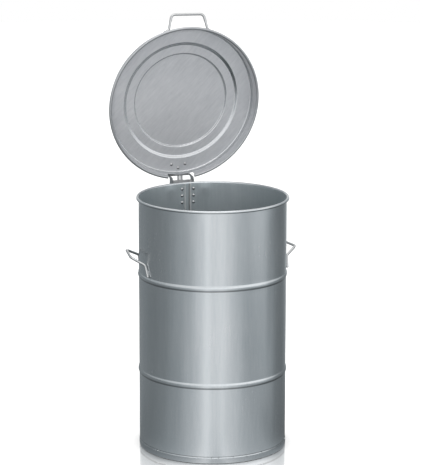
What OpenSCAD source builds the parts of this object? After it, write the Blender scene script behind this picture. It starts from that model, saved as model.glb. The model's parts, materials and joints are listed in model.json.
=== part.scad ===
// Round galvanized trash can with a hinged lid, shown with the lid thrown back.
// Millimetres, +Z up. The origin is on the can's axis at floor level, the hinge is at +Y.

/* [Can body] */
// Outside diameter of the straight wall
body_d = 380; // [370:2:390]
// Height from the floor to the top of the rolled rim
body_h = 657; // [630:1:690]
// Thickness of the body's sheet
body_t = 0.9; // [0.7:0.1:1.1]
// Width of the lapped side seam inside the back wall
seam_w = 20; // [16:1:22]
// How far the seam's lower end stays above the bottom pan
seam_foot = 3; // [2:0.5:6]

/* [Wired rims] */
// Diameter of the wire rolled into the rims of body and lid
wire_d = 5.5; // [5:0.1:6]
// Clearance between that wire and the sheet round it
wire_gap = 0.1; // [0.06:0.02:0.16]

/* [Rolling hoops] */
// Height of the middle of the lower hoop
hoop_low_z = 203; // [180:1:230]
// Height of the middle of the upper hoop
hoop_high_z = 456; // [430:1:470]
// Width of a hoop along the wall
hoop_w = 17; // [14:1:20]
// How far a hoop is pressed out of the wall
hoop_rise = 2.4; // [1.8:0.1:3.2]
// Part of a hoop's curve that goes to the hollow run-outs
hoop_fillet_share = 0.3; // [0.2:0.05:0.4]

/* [Bottom] */
// Thickness of the bottom pan's sheet
pan_t = 0.9; // [0.7:0.1:1.1]
// Height of the pan's underside above the floor
pan_recess = 12; // [10:0.5:14]
// Radius of the pan's drawn corner
pan_corner_r = 4; // [3:0.5:5]
// Middle radius of the ring bead pressed into the pan
pan_bead_r = 138; // [110:1:150]
// Width of that bead
pan_bead_w = 16; // [12:1:20]
// How far that bead stands above the pan
pan_bead_rise = 3; // [2:0.25:4]
// Thickness of the base ring's sheet
ring_t = 0.9; // [0.7:0.1:1.1]
// Height of the base ring's outer leg
ring_h = 14; // [12:0.5:16]
// Height of the base ring's inner leg
ring_inner_h = 9; // [7:0.5:10]
// Bend radius under the base ring, to the middle of its sheet
ring_bend_r = 0.7; // [0.6:0.05:0.9]
// Clearance between nested sheets
nest_gap = 0.1; // [0.05:0.05:0.15]

/* [Wire handles] */
// Wire diameter of the three handles
handle_wire_d = 6.5; // [5.5:0.25:7]
// Radius of the handles' bends, to the middle of the wire
handle_bend_r = 12; // [8:0.5:14]
// Length of the grip between its corners
handle_grip = 88; // [80:1:96]
// Clearance between a welded leg and the sheet behind it
handle_seat = 0.25; // [0.2:0.05:0.35]
// Distance between a side handle's legs where they reach the wall
side_root = 124; // [116:1:130]
// How far a side handle's grip stands out from the wall
side_reach = 28; // [25:1:32]
// How far a side handle's grip is above its roots
side_rise = 18; // [14:1:24]
// Length of a side handle's leg down the wall
side_leg = 29; // [25:1:34]
// How far a side handle's leg runs outwards on its way down
side_splay = 13; // [8:0.5:15]
// Clearance between a side handle's leg and the hoop below it
side_foot_gap = 1; // [1:0.5:5]
// Turn of the left handle towards the back
left_turn = 11; // [4:1:13]
// Turn of the right handle towards the back
right_turn = 6; // [2:1:13]
// Distance between the lid handle's legs where they reach the skirt
lid_root = 108; // [102:1:116]
// Turn of the lid handle away from the middle of the lid's front
lid_handle_turn = 1.5; // [0:0.5:3]
// How far the lid handle's grip stands out from the lid's skirt
lid_grip_reach = 36.5; // [32:0.5:42]
// Height of the lid handle's grip above the lid's bead
lid_grip_rise = 27; // [22:1:32]
// Height of the lid handle's roots above the lid's bead
lid_root_rise = 13.5; // [12:0.5:16]
// Length of a lid handle's foot along the skirt, outwards
lid_foot_splay = 14; // [10:0.5:18]
// Height of a lid handle's foot end above the middle of the bead
lid_foot_rise = 8; // [7.6:0.1:9]

/* [Lid] */
// Thickness of the lid's sheet
lid_t = 0.9; // [0.7:0.1:1.1]
// Depth from the flat ring's underside to the middle of the bead
lid_depth = 28; // [26:0.5:31]
// Radial clearance between the body's rim and the top of the lid's skirt
lid_clear = 1; // [0.6:0.1:1.6]
// How far the skirt flares outwards on its way down
lid_flare = 3.4; // [2.6:0.1:4]
// Clearance between the closed lid and the rim that it rests on
lid_seat = 0.3; // [0.3:0.05:0.5]
// Radius of the lid's outer corner, to the middle of the sheet
lid_corner_r = 3.5; // [3:0.25:4]
// Width of the flat outer ring, from the skirt to the first step
lid_ring_w = 37; // [34:1:42]
// Width of the first step
step_1_w = 11; // [9:0.5:13]
// Height of the first step
step_1_h = 4.4; // [3:0.2:6]
// Width of the flat land between the two steps
lid_land_w = 20; // [16:1:26]
// Width of the second step
step_2_w = 5; // [4:0.5:7]
// Height of the second step
step_2_h = 4.4; // [3:0.2:5]
// Width of the gap in the lid's bead at the hinge
notch_w = 75; // [70:1:82]

/* [Hinge] */
// Opening angle of the lid, from closed to its stop
open_angle = 82; // [78:1:86]
// Distance of the hinge pin behind the body's wall
pin_back = 50.5; // [49:0.5:52]
// Distance of the hinge pin below the top of the rim
pin_down = 33.5; // [33:0.25:35]
// Diameter of the hinge pin
pin_d = 8; // [7:0.5:9]
// Radial clearance of the pin in the lid's arms
pin_run = 0.06; // [0.04:0.01:0.09]
// Radial clearance of the pin in the bracket's cheeks
pin_fit = 0.03; // [0.02:0.01:0.05]
// Diameter of the pin's two heads
pin_head_d = 14; // [13:0.5:16]
// Thickness of a pin head
pin_head_h = 2.6; // [2:0.2:3.4]
// Outer diameter of the two washers
washer_d = 18; // [17:0.5:20]
// Thickness of a washer
washer_t = 1.2; // [0.8:0.1:1.6]
// Sideways clearance between cheek, arm, washer and head
side_gap = 0.3; // [0.3:0.05:0.4]

/* [Bracket on the body] */
// Thickness of the bracket's sheet
bracket_t = 2; // [1.5:0.25:2.25]
// Distance between the outsides of the two cheeks
bracket_w = 56; // [54:1:60]
// Height of the bracket's two mounting flanges
bracket_h = 50; // [47:1:52]
// Half the distance between the two flanges' inner edges
flange_in = 9.5; // [8:0.5:10.5]
// Clearance between the bracket and the body
bracket_seat = 0.1; // [0.05:0.05:0.15]
// Clearance between the flanges and the rolled rim above them
bracket_rim_gap = 1; // [0.6:0.2:2]
// Radius of cheek and arm round the pin
cheek_r = 11.5; // [11:0.5:12]
// Distance of the bracket's back plate behind the pin
back_plate_y = 10.5; // [9:0.5:11]
// Height of the back plate's top edge above the pin
shelf_rise = 28; // [26:0.5:31]
// Width of one stop tongue
tongue_w = 6.4; // [5:0.2:7]
// Distance between the middles of the two stop tongues
tongue_pitch = 8.6; // [8.4:0.2:11]
// Clearance between the open lid's web and the stop tongues
stop_gap = 0.3; // [0.3:0.05:0.5]

/* [Leaf on the lid] */
// Thickness of the leaf's sheet
leaf_t = 2; // [1.5:0.25:2.25]
// Clearance between the leaf's plate and the top of the lid
leaf_seat = 0.1; // [0.05:0.05:0.15]
// Clearance between the leaf's web and the lid's skirt
web_gap = 0.2; // [0.1:0.05:0.5]
// Radius of the bend between plate and web, to the middle of the sheet
leaf_bend_r = 4; // [3.5:0.25:4.5]
// Length of the leaf's plate over the lid, from the web
leaf_len = 33.5; // [31:0.5:34]
// Clearance between the closed lid's web and the cheeks below it
web_lift = 3.3; // [2.5:0.1:4]
// Height of the gap in the lid's skirt above the web's lower edge
notch_rise = 5; // [3:0.5:6]
// Distance from the web to the knee in the arms' upper edge
arm_root = 6; // [5.5:0.5:12]

/* [Rivets] */
// Shank diameter of the rivets
rivet_d = 5; // [4:0.5:5.5]
// Head diameter of the rivets
rivet_head_d = 8; // [7.6:0.2:9]
// Height of a rivet head
rivet_head_h = 2.2; // [1.6:0.2:2.6]
// Clearance round a rivet's shank and under its heads
rivet_gap = 0.05; // [0.03:0.01:0.08]
// Half the distance between the two rows of rivets on the body
rivet_x = 16; // [15.5:0.25:17]
// Height between the rivets of one row
rivet_pitch = 18.2; // [16:0.2:19]
// Distance from the lower edge of the bracket's flanges to the lowest rivets
rivet_edge = 4.5; // [4.5:0.25:6]
// Half the distance between the lid's two inner rivets
lid_rivet_x = 19; // [16:0.5:21]
// How far the lid's outer rivet is inside the middle of the rolled rim
lid_rivet_near = 6.3; // [6.3:0.1:8]
// Distance from the lid's outer rivet to the row of the two inner ones
lid_rivet_row = 10.5; // [9.5:0.5:12]

/* [Hidden] */

$fn = 96;
zinc = [0.66, 0.68, 0.70];
zinc_dark = [0.52, 0.54, 0.56];
zinc_bright = [0.78, 0.79, 0.81];
// Largest turn between two points of a drawn arc
arc_step = 9;
// Overrun of every cut
over = 1;
// How far a wire's straight stretches reach into its bends, and how much thinner they are
bend_lap = 0.3;
bend_step = 0.01;

body_r = body_d / 2;
wall_mid = body_r - body_t / 2;
// Rolled rim of the body
rim_r = wire_d / 2 + wire_gap + body_t / 2;
rim_out = rim_r + body_t / 2;
rim_c = [wall_mid + rim_r, body_h - rim_out];
rim_edge = rim_c[0] + rim_out;
// Base ring and pan
wall_foot = ring_t + nest_gap;
ring_out_mid = body_r + nest_gap + ring_t / 2;
pan_wall_mid = body_r - body_t - nest_gap - pan_t / 2;
ring_in_mid = pan_wall_mid - pan_t / 2 - nest_gap - ring_t / 2;
pan_mid_z = pan_recess + pan_t / 2;
seam_z = pan_recess + pan_t + seam_foot;
// Closed lid
lid_bead_r = wire_d / 2 + wire_gap + lid_t / 2;
lid_ring_z = body_h + lid_seat + lid_t / 2;
lid_top_z = lid_ring_z + lid_t / 2;
bead_z = body_h + lid_seat - lid_depth;
skirt_top_mid = rim_edge + lid_clear + lid_t / 2;
bead_c = [skirt_top_mid + lid_flare + lid_bead_r, bead_z];
lid_corner_c = [skirt_top_mid - lid_corner_r, lid_ring_z - lid_corner_r];
// The skirt is the line that touches the corner's arc and the bead's arc
skirt_angle = atan((bead_c[0] - lid_corner_c[0]) / (lid_corner_c[1] - bead_z))
    - asin((lid_corner_r + lid_bead_r) / norm(bead_c - lid_corner_c));
skirt_top = lid_corner_c + (lid_corner_r + lid_t / 2) * [cos(skirt_angle), sin(skirt_angle)];
function skirt_out(z) = skirt_top[0] + (skirt_top[1] - z) * tan(skirt_angle);
step_1_out = skirt_top_mid - lid_ring_w;
step_1_in = step_1_out - step_1_w;
step_2_out = step_1_in - lid_land_w;
step_2_in = step_2_out - step_2_w;
land_z = lid_ring_z + step_1_h;
disc_z = land_z + step_2_h;
// Hinge
pin_y = body_r + pin_back;
pin_z = body_h - pin_down;
cheek_out = bracket_w / 2;
cheek_in = cheek_out - bracket_t;
arm_in = cheek_out + side_gap;
arm_out = arm_in + leaf_t;
washer_in = arm_out + side_gap;
head_in = washer_in + washer_t + side_gap;
bracket_top = body_h - 2 * rim_out - bracket_rim_gap;
bracket_foot = bracket_top - bracket_h;
rivet_mid_z = bracket_foot + rivet_edge + rivet_pitch;
web_foot = pin_z + cheek_r + web_lift;
notch_top = web_foot + notch_rise;
web_in = skirt_out(notch_top) + web_gap;
web_mid = web_in + leaf_t / 2;
plate_mid_z = lid_top_z + leaf_seat + leaf_t / 2;
// Top of the stop tongues above the pin, just under the web when the lid is open
tongue_top = (back_plate_y * cos(open_angle) + pin_y - web_in - leaf_t) / sin(open_angle)
    - stop_gap;
lid_rivet_out = rim_c[0] - lid_rivet_near;
lid_rivet_in = lid_rivet_out - lid_rivet_row;
// Side handles
side_root_z = hoop_high_z + hoop_w / 2 + side_foot_gap + side_leg;

// Plane geometry
function dir(a) = [cos(a), sin(a)];
function arc(c, r, a0, a1) =
    let (n = max(1, ceil(abs(a1 - a0) / arc_step)))
    [for (i = [0:n]) c + r * dir(a0 + (a1 - a0) * i / n)];
function reversed(list) = [for (i = [len(list) - 1:-1:0]) list[i]];
// A strip follows arcs [centre, radius, first angle, last angle]. An end of the strip is an arc of
// radius zero, whose angle points to the strip's left side.
function side(path, off) = [for (e = path)
    each e[2] == e[3] ? [e[0] + off * dir(e[2])]
        : arc(e[0], e[1] - sign(e[3] - e[2]) * off, e[2], e[3])];
function strip(path, t) = concat(side(path, t / 2), reversed(side(path, -t / 2)));
// Two equal arcs that carry a flat outwards by w and down by h
function step_down(r, z, w, h) =
    let (a = 2 * atan(h / w), s = w / sin(a) / 2)
    [[[r, z - s], s, 90, 90 - a], [[r + w, z - h + s], s, 270 - a, 270]];
// Outline whose corners [x, y, r] are rounded
function round_corner(a, p, b, r) =
    let (u = (a - p) / norm(a - p), v = (b - p) / norm(b - p), half = acos(u * v) / 2,
        c = p + (u + v) / norm(u + v) * r / sin(half),
        s = p + u * r / tan(half) - c, e = p + v * r / tan(half) - c,
        a0 = atan2(s[1], s[0]), turn = atan2(e[1], e[0]) - a0,
        swing = turn > 180 ? turn - 360 : turn < -180 ? turn + 360 : turn)
    arc(c, r, a0, a0 + swing);
function rounded(list) = [for (i = [0:len(list) - 1])
    let (n = len(list), a = list[(i + n - 1) % n], p = list[i], b = list[(i + 1) % n])
    each p[2] == 0 ? [[p[0], p[1]]]
        : round_corner([a[0], a[1]], [p[0], p[1]], [b[0], b[1]], p[2])];

// A revolve of a sheet profile
module revolved(path, t) rotate_extrude(convexity = 6, $fn = 180) polygon(strip(path, t));

// A plate whose outline is drawn in the plane of Y and Z, from x0 to x0 + t
module side_plate(outline, x0, t)
    translate([x0, 0, 0]) rotate([90, 0, 90]) linear_extrude(t) polygon(outline);

// A bar along X
module x_bar(r, x0, x1) translate([x0, 0, 0]) rotate([0, 90, 0]) cylinder(r = r, h = x1 - x0);

// Places its children at the hinge pin
module at_pin() translate([0, pin_y, pin_z]) children();

// Swings the closed lid's pieces back to the stop
module thrown_back() at_pin() rotate([-open_angle, 0, 0]) translate([0, -pin_y, -pin_z]) children();

// A wire of diameter d along points, with a true bend at each inner corner. The straight stretches
// are a hair thinner than the bends and reach a little way into them.
module wire(points, d, bend) {
    n = len(points);
    function unit(v) = v / norm(v);
    function turn(i) = acos(unit(points[i] - points[i - 1]) * unit(points[i + 1] - points[i]));
    function cut(i) = i == 0 || i == n - 1 ? 0 : bend * tan(turn(i) / 2);
    function start(i) = i == 0 || i == n - 1 ? 0 : cut(i) - bend_lap;
    for (i = [0:n - 2]) {
        u = unit(points[i + 1] - points[i]);
        translate(points[i] + u * start(i))
            rotate([0, acos(u[2]), atan2(u[1], u[0])])
                cylinder(r = d / 2 - bend_step, $fn = 48,
                    h = norm(points[i + 1] - points[i]) - start(i) - start(i + 1));
    }
    for (i = [1:n - 2]) {
        u = unit(points[i] - points[i - 1]);
        v = unit(points[i + 1] - points[i]);
        centre = points[i] + unit(v - u) * bend / cos(turn(i) / 2);
        x = unit(points[i] - u * cut(i) - centre);
        z = cross(x, u);
        multmatrix([[x[0], u[0], z[0], centre[0]], [x[1], u[1], z[1], centre[1]],
            [x[2], u[2], z[2], centre[2]], [0, 0, 0, 1]])
            rotate_extrude(angle = turn(i), $fn = 96)
                translate([bend, 0]) circle(r = d / 2, $fn = 48);
    }
}

// A rivet along +Z through sheets from zero to grip. Its lower head stays clear of a sheet that
// sags by sag under the head's edge.
module rivet(grip, sag = 0) {
    low = -rivet_gap - sag;
    high = grip + rivet_gap;
    a = 2 * atan(2 * rivet_head_h / rivet_head_d);
    r = rivet_head_d / 2 / sin(a);
    dome = arc([0, -r * cos(a)], r, 90 - a, 90);
    rotate_extrude(convexity = 4, $fn = 48) polygon(concat(
        reversed([for (p = dome) [p[0], low - p[1]]]),
        [[rivet_d / 2, low], [rivet_d / 2, high]],
        [for (p = dome) [p[0], high + p[1]]]));
}

// A hoop pressed out of the wall, round its middle at height z
function hoop(z) =
    let (a = 2 * atan(2 * hoop_rise / hoop_w), s = hoop_w / 2 / sin(a),
        rf = s * hoop_fillet_share, rc = s - rf)
    [[[wall_mid + rf, z - hoop_w / 2], rf, 180, 180 - a],
     [[wall_mid + hoop_rise - rc, z], rc, -a, a],
     [[wall_mid + rf, z + hoop_w / 2], rf, 180 + a, 180]];
curl_turn = 360 - acos((rim_r - body_t / 2 - wire_gap) / (rim_r + body_t / 2));
wall_path = concat(hoop(hoop_low_z), hoop(hoop_high_z));
body_path = concat([[[wall_mid, wall_foot], 0, 180, 180]], wall_path,
    [[rim_c, rim_r, 180, 180 - curl_turn]]);
seam_path = concat([[[wall_mid - body_t, seam_z], 0, 180, 180]],
    [for (e = wall_path) [e[0], e[1] - sign(e[3] - e[2]) * body_t, e[2], e[3]]],
    [[[wall_mid - body_t, rim_c[1]], 0, 180, 180]]);

module body_rivets_place()
    for (side = [-1, 1]) for (row = [-1:1])
        rotate([0, 0, -side * asin(rivet_x / body_r)])
            translate([0, body_r - body_t, rivet_mid_z + row * rivet_pitch])
                rotate([-90, 0, 0]) children();

body_grip = body_t + bracket_seat + bracket_t;

module body_shell() color(zinc) {
    difference() {
        union() {
            revolved(body_path, body_t);
            intersection() {
                revolved(seam_path, body_t);
                translate([-seam_w / 2, 0, 0]) cube([seam_w, body_d, body_h]);
            }
        }
        body_rivets_place() translate([0, 0, -over])
            cylinder(r = rivet_d / 2 + rivet_gap, h = body_grip + 2 * over, $fn = 32);
    }
}

module rim_wire() color(zinc_bright)
    rotate_extrude($fn = 180) translate(rim_c) circle(r = wire_d / 2, $fn = 32);

module bottom_pan() color(zinc) {
    a = 2 * atan(2 * pan_bead_rise / pan_bead_w);
    s = pan_bead_w / 2 / sin(a) / 2;
    revolved([
        [[0, pan_mid_z], 0, 90, 90],
        [[pan_bead_r - pan_bead_w / 2, pan_mid_z + s], s, 270, 270 + a],
        [[pan_bead_r, pan_mid_z + pan_bead_rise - s], s, 90 + a, 90 - a],
        [[pan_bead_r + pan_bead_w / 2, pan_mid_z + s], s, 270 - a, 270],
        [[pan_wall_mid - pan_corner_r, pan_mid_z - pan_corner_r], pan_corner_r, 90, 0],
        [[pan_wall_mid, wall_foot], 0, 0, 0]], pan_t);
}

module base_ring() color(zinc) {
    b = ring_bend_r;
    low = ring_t / 2 + b;
    revolved([
        [[ring_in_mid, ring_inner_h], 0, 0, 0],
        [[ring_in_mid + b, low], b, 180, 270],
        [[ring_out_mid - b, low], b, 270, 360],
        [[ring_out_mid, ring_h], 0, 180, 180]], ring_t);
}

// Point of a handle's wire that lies on a round wall of radius r, at y and z
function seated(r, y, z) = [sqrt(pow(r + handle_seat + handle_wire_d / 2, 2) - pow(y, 2)), y, z];
// Corners of a handle: feet on a wall of radius foot_r, roots on one of root_r, grip at grip_x
function handle_path(grip_x, grip_z, root, root_r, root_z, foot_r, foot_z, splay) =
    let (foot = root + splay, grip = handle_grip / 2)
    [seated(foot_r, -foot, foot_z), seated(root_r, -root, root_z), [grip_x, -grip, grip_z],
     [grip_x, grip, grip_z], seated(root_r, root, root_z), seated(foot_r, foot, foot_z)];

module side_handle() color(zinc_bright)
    wire(handle_path(body_r + side_reach, side_root_z + side_rise, side_root / 2,
            body_r, side_root_z, body_r, side_root_z - side_leg, side_splay),
        handle_wire_d, handle_bend_r);

module handle_left() rotate([0, 0, 180 - left_turn]) side_handle();
module handle_right() rotate([0, 0, right_turn]) side_handle();

// Side outline of a cheek, from the wall to the back plate
module cheek(x0) {
    wall_y = sqrt(pow(body_r + bracket_seat + bracket_t / 2, 2) - pow(cheek_out, 2));
    back = pin_y + back_plate_y + bracket_t;
    round_r = bracket_t * 1.5;
    side_plate(rounded([
        [wall_y, bracket_foot, 0],
        [back, pin_z - cheek_r, cheek_r / 2],
        [back, pin_z + shelf_rise, 0],
        [back - 3 * bracket_t, pin_z + shelf_rise, round_r],
        [pin_y - bracket_t * 2, pin_z + cheek_r, round_r],
        [wall_y, pin_z + cheek_r, 0]]), x0, bracket_t);
}

module hinge_bracket() color(zinc_dark) {
    back = pin_y + back_plate_y;
    difference() {
        union() {
            for (x0 = [-cheek_out, cheek_in]) cheek(x0);
            // Mounting flanges, bent inwards along the wall
            intersection() {
                translate([0, 0, bracket_foot]) difference() {
                    cylinder(r = body_r + bracket_seat + bracket_t, h = bracket_h, $fn = 180);
                    translate([0, 0, -over])
                        cylinder(r = body_r + bracket_seat, h = bracket_h + 2 * over, $fn = 180);
                }
                for (side = [0, 1]) mirror([side, 0, 0])
                    translate([flange_in, 0, 0]) cube([cheek_out - flange_in, body_d, body_h]);
            }
            // Back plate with the two stop tongues
            translate([0, back + bracket_t, pin_z]) rotate([90, 0, 0])
                linear_extrude(bracket_t) polygon(concat(
                    [[-cheek_out, -cheek_r / 2], [-cheek_out, shelf_rise]],
                    [for (side = [-1, 1]) let (x = side * tongue_pitch / 2, w = tongue_w / 2)
                        each rounded_top(x, w)],
                    [[cheek_out, shelf_rise], [cheek_out, -cheek_r / 2]]));
        }
        at_pin() x_bar(pin_d / 2 + pin_fit, -cheek_out - over, cheek_out + over);
        body_rivets_place() translate([0, 0, body_t])
            cylinder(r = rivet_d / 2 + rivet_gap, h = bracket_t + 2 * over, $fn = 32);
    }
}

// Points of one stop tongue, from its left foot over its round top to its right foot
function rounded_top(x, w) = concat(
    [[x - w, shelf_rise]],
    arc([x - w / 2, tongue_top - w / 2], w / 2, 180, 90),
    arc([x + w / 2, tongue_top - w / 2], w / 2, 90, 0),
    [[x + w, shelf_rise]]);

module bracket_rivets() color(zinc_bright) body_rivets_place()
    rivet(body_grip, body_r - body_t - sqrt(pow(body_r - body_t, 2) - pow(rivet_head_d / 2, 2)));

module hinge_pin() color(zinc_bright) at_pin() {
    x_bar(pin_d / 2, -head_in, head_in);
    for (side = [0, 1]) mirror([side, 0, 0]) x_bar(pin_head_d / 2, head_in, head_in + pin_head_h);
}

module hinge_washers() color(zinc) at_pin()
    for (side = [0, 1]) mirror([side, 0, 0]) difference() {
        x_bar(washer_d / 2, washer_in, washer_in + washer_t);
        x_bar(pin_d / 2 + pin_run, washer_in - over, washer_in + washer_t + over);
    }

// Space that the hinge needs through the lid's bead and the lower half of its skirt
module hinge_notch() translate([-notch_w / 2, 0, 0]) cube([notch_w, body_d, notch_top]);

module lid_rivets_place()
    for (p = [[0, lid_rivet_out], [-lid_rivet_x, lid_rivet_in], [lid_rivet_x, lid_rivet_in]])
        translate([p[0], p[1], body_h + lid_seat]) children();

lid_grip = lid_t + leaf_seat + leaf_t;

module lid_shell() color(zinc) thrown_back() difference() {
    revolved(concat(
        [[[0, disc_z], 0, 90, 90]],
        step_down(step_2_in, disc_z, step_2_w, step_2_h),
        step_down(step_1_in, land_z, step_1_w, step_1_h),
        [[lid_corner_c, lid_corner_r, 90, skirt_angle],
         [bead_c, lid_bead_r, 180 + skirt_angle, 180 + skirt_angle + curl_turn]]), lid_t);
    hinge_notch();
    lid_rivets_place() translate([0, 0, -over])
        cylinder(r = rivet_d / 2 + rivet_gap, h = lid_t + 2 * over, $fn = 32);
}

module lid_rim_wire() color(zinc_bright) thrown_back() difference() {
    rotate_extrude($fn = 180) translate(bead_c) circle(r = wire_d / 2, $fn = 32);
    hinge_notch();
}

module lid_handle() color(zinc_bright) thrown_back() rotate([0, 0, lid_handle_turn - 90]) {
    root_z = bead_z + lid_root_rise;
    foot_z = bead_z + lid_foot_rise;
    wire(handle_path(skirt_top_mid + lid_t / 2 + lid_grip_reach, bead_z + lid_grip_rise, lid_root / 2,
            skirt_out(root_z), root_z, skirt_out(foot_z), foot_z, lid_foot_splay),
        handle_wire_d, handle_bend_r);
}

// Side outline of an arm, from the web to the round end about the pin
module arm(x0) {
    top = plate_mid_z - leaf_bend_r;
    knee = [web_in + arm_root, pin_z + cheek_r];
    low = [web_in, pin_z - cheek_r];
    side_plate(concat(
        [[web_in, top], [web_in + 2 * leaf_t, top]],
        round_corner([web_in + 2 * leaf_t, top], knee, [pin_y, knee[1]], cheek_r / 2),
        arc([pin_y, pin_z], cheek_r, 90, -90),
        round_corner([pin_y, low[1]], low, [web_in, top], cheek_r / 2)), x0, leaf_t);
}

module hinge_leaf() color(zinc_dark) thrown_back() difference() {
    union() {
        // Plate over the lid, bend and web as one strip
        side_plate(strip([
            [[web_in - leaf_len, plate_mid_z], 0, 90, 90],
            [[web_mid - leaf_bend_r, plate_mid_z - leaf_bend_r], leaf_bend_r, 90, 0],
            [[web_mid, web_foot], 0, 0, 0]], leaf_t), -arm_out, 2 * arm_out);
        for (x0 = [-arm_out, arm_in]) arm(x0);
    }
    at_pin() x_bar(pin_d / 2 + pin_run, -arm_out - over, arm_out + over);
    lid_rivets_place() translate([0, 0, lid_t])
        cylinder(r = rivet_d / 2 + rivet_gap, h = leaf_t + 2 * over, $fn = 32);
}

module lid_rivets() color(zinc_bright) thrown_back() lid_rivets_place() rivet(lid_grip);

body_shell();
rim_wire();
bottom_pan();
base_ring();
handle_left();
handle_right();
hinge_bracket();
bracket_rivets();
hinge_pin();
hinge_washers();
lid_shell();
lid_rim_wire();
lid_handle();
hinge_leaf();
lid_rivets();
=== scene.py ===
"""The looks of a galvanized trash can whose lid is thrown back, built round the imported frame."""

import json
import math
import random

import bmesh
import bpy
import numpy as np
from mathutils import Matrix, Vector, noise


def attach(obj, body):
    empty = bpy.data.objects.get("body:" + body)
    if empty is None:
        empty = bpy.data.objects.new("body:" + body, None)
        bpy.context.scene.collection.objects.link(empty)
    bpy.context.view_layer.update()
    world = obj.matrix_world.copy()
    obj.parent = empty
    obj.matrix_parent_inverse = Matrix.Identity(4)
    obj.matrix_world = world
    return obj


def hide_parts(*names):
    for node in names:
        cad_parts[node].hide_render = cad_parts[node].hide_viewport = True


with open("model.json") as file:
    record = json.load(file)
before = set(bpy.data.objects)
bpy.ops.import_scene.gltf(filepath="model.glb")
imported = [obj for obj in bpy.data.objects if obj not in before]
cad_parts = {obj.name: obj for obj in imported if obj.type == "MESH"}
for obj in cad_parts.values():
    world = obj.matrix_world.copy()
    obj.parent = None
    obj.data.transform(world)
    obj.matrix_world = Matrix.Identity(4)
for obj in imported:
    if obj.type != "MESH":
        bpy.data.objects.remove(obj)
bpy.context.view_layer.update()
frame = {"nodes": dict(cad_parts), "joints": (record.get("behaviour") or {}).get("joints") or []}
nodes = frame["nodes"]
hinge = frame["joints"][0]
MM = 0.001

# Sizes of the can body, in metres
BODY_R = 190 * MM
BODY_H = 657 * MM
SHEET = 0.9 * MM
WIRE_R = 2.75 * MM
WIRE_GAP = 0.1 * MM
HOOP_Z = (203 * MM, 456 * MM)
HOOP_W = 17 * MM
HOOP_RISE = 2.4 * MM
HOOP_FILLET_SHARE = 0.3
NEST_GAP = 0.1 * MM
PAN_RECESS = 12 * MM
PAN_CORNER_R = 4 * MM
PAN_BEAD_R = 138 * MM
PAN_BEAD_W = 16 * MM
PAN_BEAD_RISE = 3 * MM
RING_H = 14 * MM
RING_INNER_H = 9 * MM
RING_BEND_R = 0.7 * MM
SEAM_HALF_W = 10 * MM
SEAM_FLAT_X = -6.4 * MM
SEAM_GROOVE_X = (2.2 * MM, 4.8 * MM)
SEAM_FOOT_Z = 16 * MM
SEAM_ROOT = 0.4 * MM
SEAM_LIFT = 0.02 * MM
SEAM_COLUMNS = 49
SEAM_ROW_H = 2.4 * MM
SEAM_WELD_X = -5.5 * MM
SEAM_WELD_PITCH = 12 * MM
SEAM_WELD_DEPTH = 0.5 * MM
SEAM_WELD_R = 1.6 * MM
OUTER_SEAM_TOP = 556 * MM

# Sizes of the lid, closed
LID_SEAT = 0.3 * MM
LID_DEPTH = 28 * MM
LID_CLEAR = 1.0 * MM
LID_FLARE = 3.4 * MM
LID_CORNER_R = 3.5 * MM
LID_RING_W = 37 * MM
LID_SHADE_H = 8 * MM
LID_FLAT_LIMIT = 0.985
LID_LAND_W = 20 * MM
# Width and height of the outer step and of the inner one
STEP_1 = (11 * MM, 4.4 * MM)
STEP_2 = (5 * MM, 4.4 * MM)
NOTCH_HALF_W = 37.5 * MM
NOTCH_TOP = 643.3 * MM
NOTCH_Y = (100 * MM, 500 * MM)
OPEN_ANGLE = math.radians(hinge["range_deg"][1])
PIN = Vector(hinge["pos_m"])

# Sizes of the wire handles
HANDLE_R = 3.25 * MM
HANDLE_BEND_R = 12 * MM
HANDLE_GRIP = 44 * MM
HANDLE_SEAT = 0.25 * MM
SIDE_ROOT = 62 * MM
SIDE_REACH = 28 * MM
SIDE_RISE = 18 * MM
SIDE_LEG = 29 * MM
SIDE_SPLAY = 13 * MM
SIDE_ROOT_Z = 494.5 * MM
WELD_SPAN = (0.12, 0.62)
WELD_SINK = 0.93
WELD_HALF_W = 3.6 * MM
WELD_RISE = 1.1 * MM
WELD_END = 0.03
WELD_ROUNDNESS = 0.4
WELD_LUMP = 0.14
WELD_LUMP_RATE = 19
WELD_ROUGHNESS = 0.05
LEFT_TURN = math.radians(11)
RIGHT_TURN = math.radians(6)
LID_ROOT = 54 * MM
LID_HANDLE_TURN = math.radians(1.5)
LID_GRIP_REACH = 36.5 * MM
LID_GRIP_RISE = 27 * MM
LID_ROOT_RISE = 13.5 * MM
LID_FOOT_RISE = 8 * MM
LID_FOOT_SPLAY = 14 * MM

# Derived sizes
WALL_MID = BODY_R - SHEET / 2
RIM_R = WIRE_R + WIRE_GAP + SHEET / 2
RIM_OUT = RIM_R + SHEET / 2
RIM_C = (WALL_MID + RIM_R, BODY_H - RIM_OUT)
CURL = 360 - math.degrees(math.acos((RIM_R - SHEET / 2 - WIRE_GAP) / RIM_OUT))
WALL_FOOT = SHEET + NEST_GAP
RING_OUT_MID = BODY_R + NEST_GAP + SHEET / 2
PAN_WALL_MID = BODY_R - 1.5 * SHEET - NEST_GAP
RING_IN_MID = PAN_WALL_MID - SHEET - NEST_GAP
PAN_Z = PAN_RECESS + SHEET / 2
LID_RING_Z = BODY_H + LID_SEAT + SHEET / 2
BEAD_Z = BODY_H + LID_SEAT - LID_DEPTH
SKIRT_MID = RIM_C[0] + RIM_OUT + LID_CLEAR + SHEET / 2
BEAD_C = (SKIRT_MID + LID_FLARE + RIM_R, BEAD_Z)
LID_CORNER_C = (SKIRT_MID - LID_CORNER_R, LID_RING_Z - LID_CORNER_R)
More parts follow.
